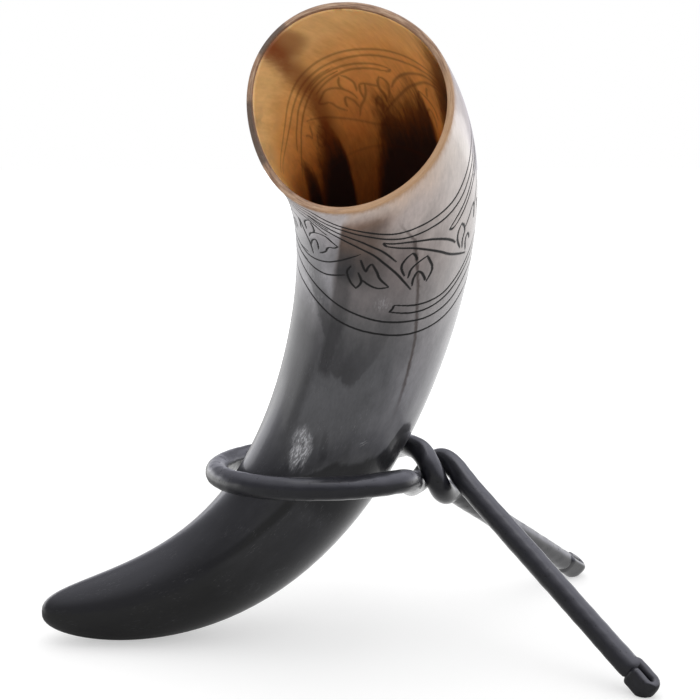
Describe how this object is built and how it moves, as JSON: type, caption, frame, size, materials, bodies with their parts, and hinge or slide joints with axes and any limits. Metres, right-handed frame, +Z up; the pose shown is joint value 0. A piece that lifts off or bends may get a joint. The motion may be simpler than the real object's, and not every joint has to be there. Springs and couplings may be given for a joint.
{
  "type": "drinking horn with stand",
  "caption": "Natural drinking horn with a slanted open mouth and an engraved leaf-scroll band, standing in a ring stand bent from one round iron bar with a twist and splayed legs.",
  "frame": {"origin": "middle of the footprint, on the table", "axes": "+X from the horn's tip towards the stand's toes, +Y away from the drinker, with the mouth facing -Y and up, +Z up"},
  "size_m": [0.2078, 0.1342, 0.2184],
  "materials": {
    "horn": "polished natural horn",
    "iron_stand": "satin black paint on wrought iron"
  },
  "bodies": {
    "stand": {"iron_stand": "iron_stand"},
    "horn": {"horn": "horn"}
  },
  "joints": [
    {"name": "horn_draw", "type": "hinge", "parent": "stand", "child": "horn", "pos_m": [-0.1234, 0.00598, 0.1256], "axis": [0, -1, 0], "range_deg": [0, 60]}
  ]
}
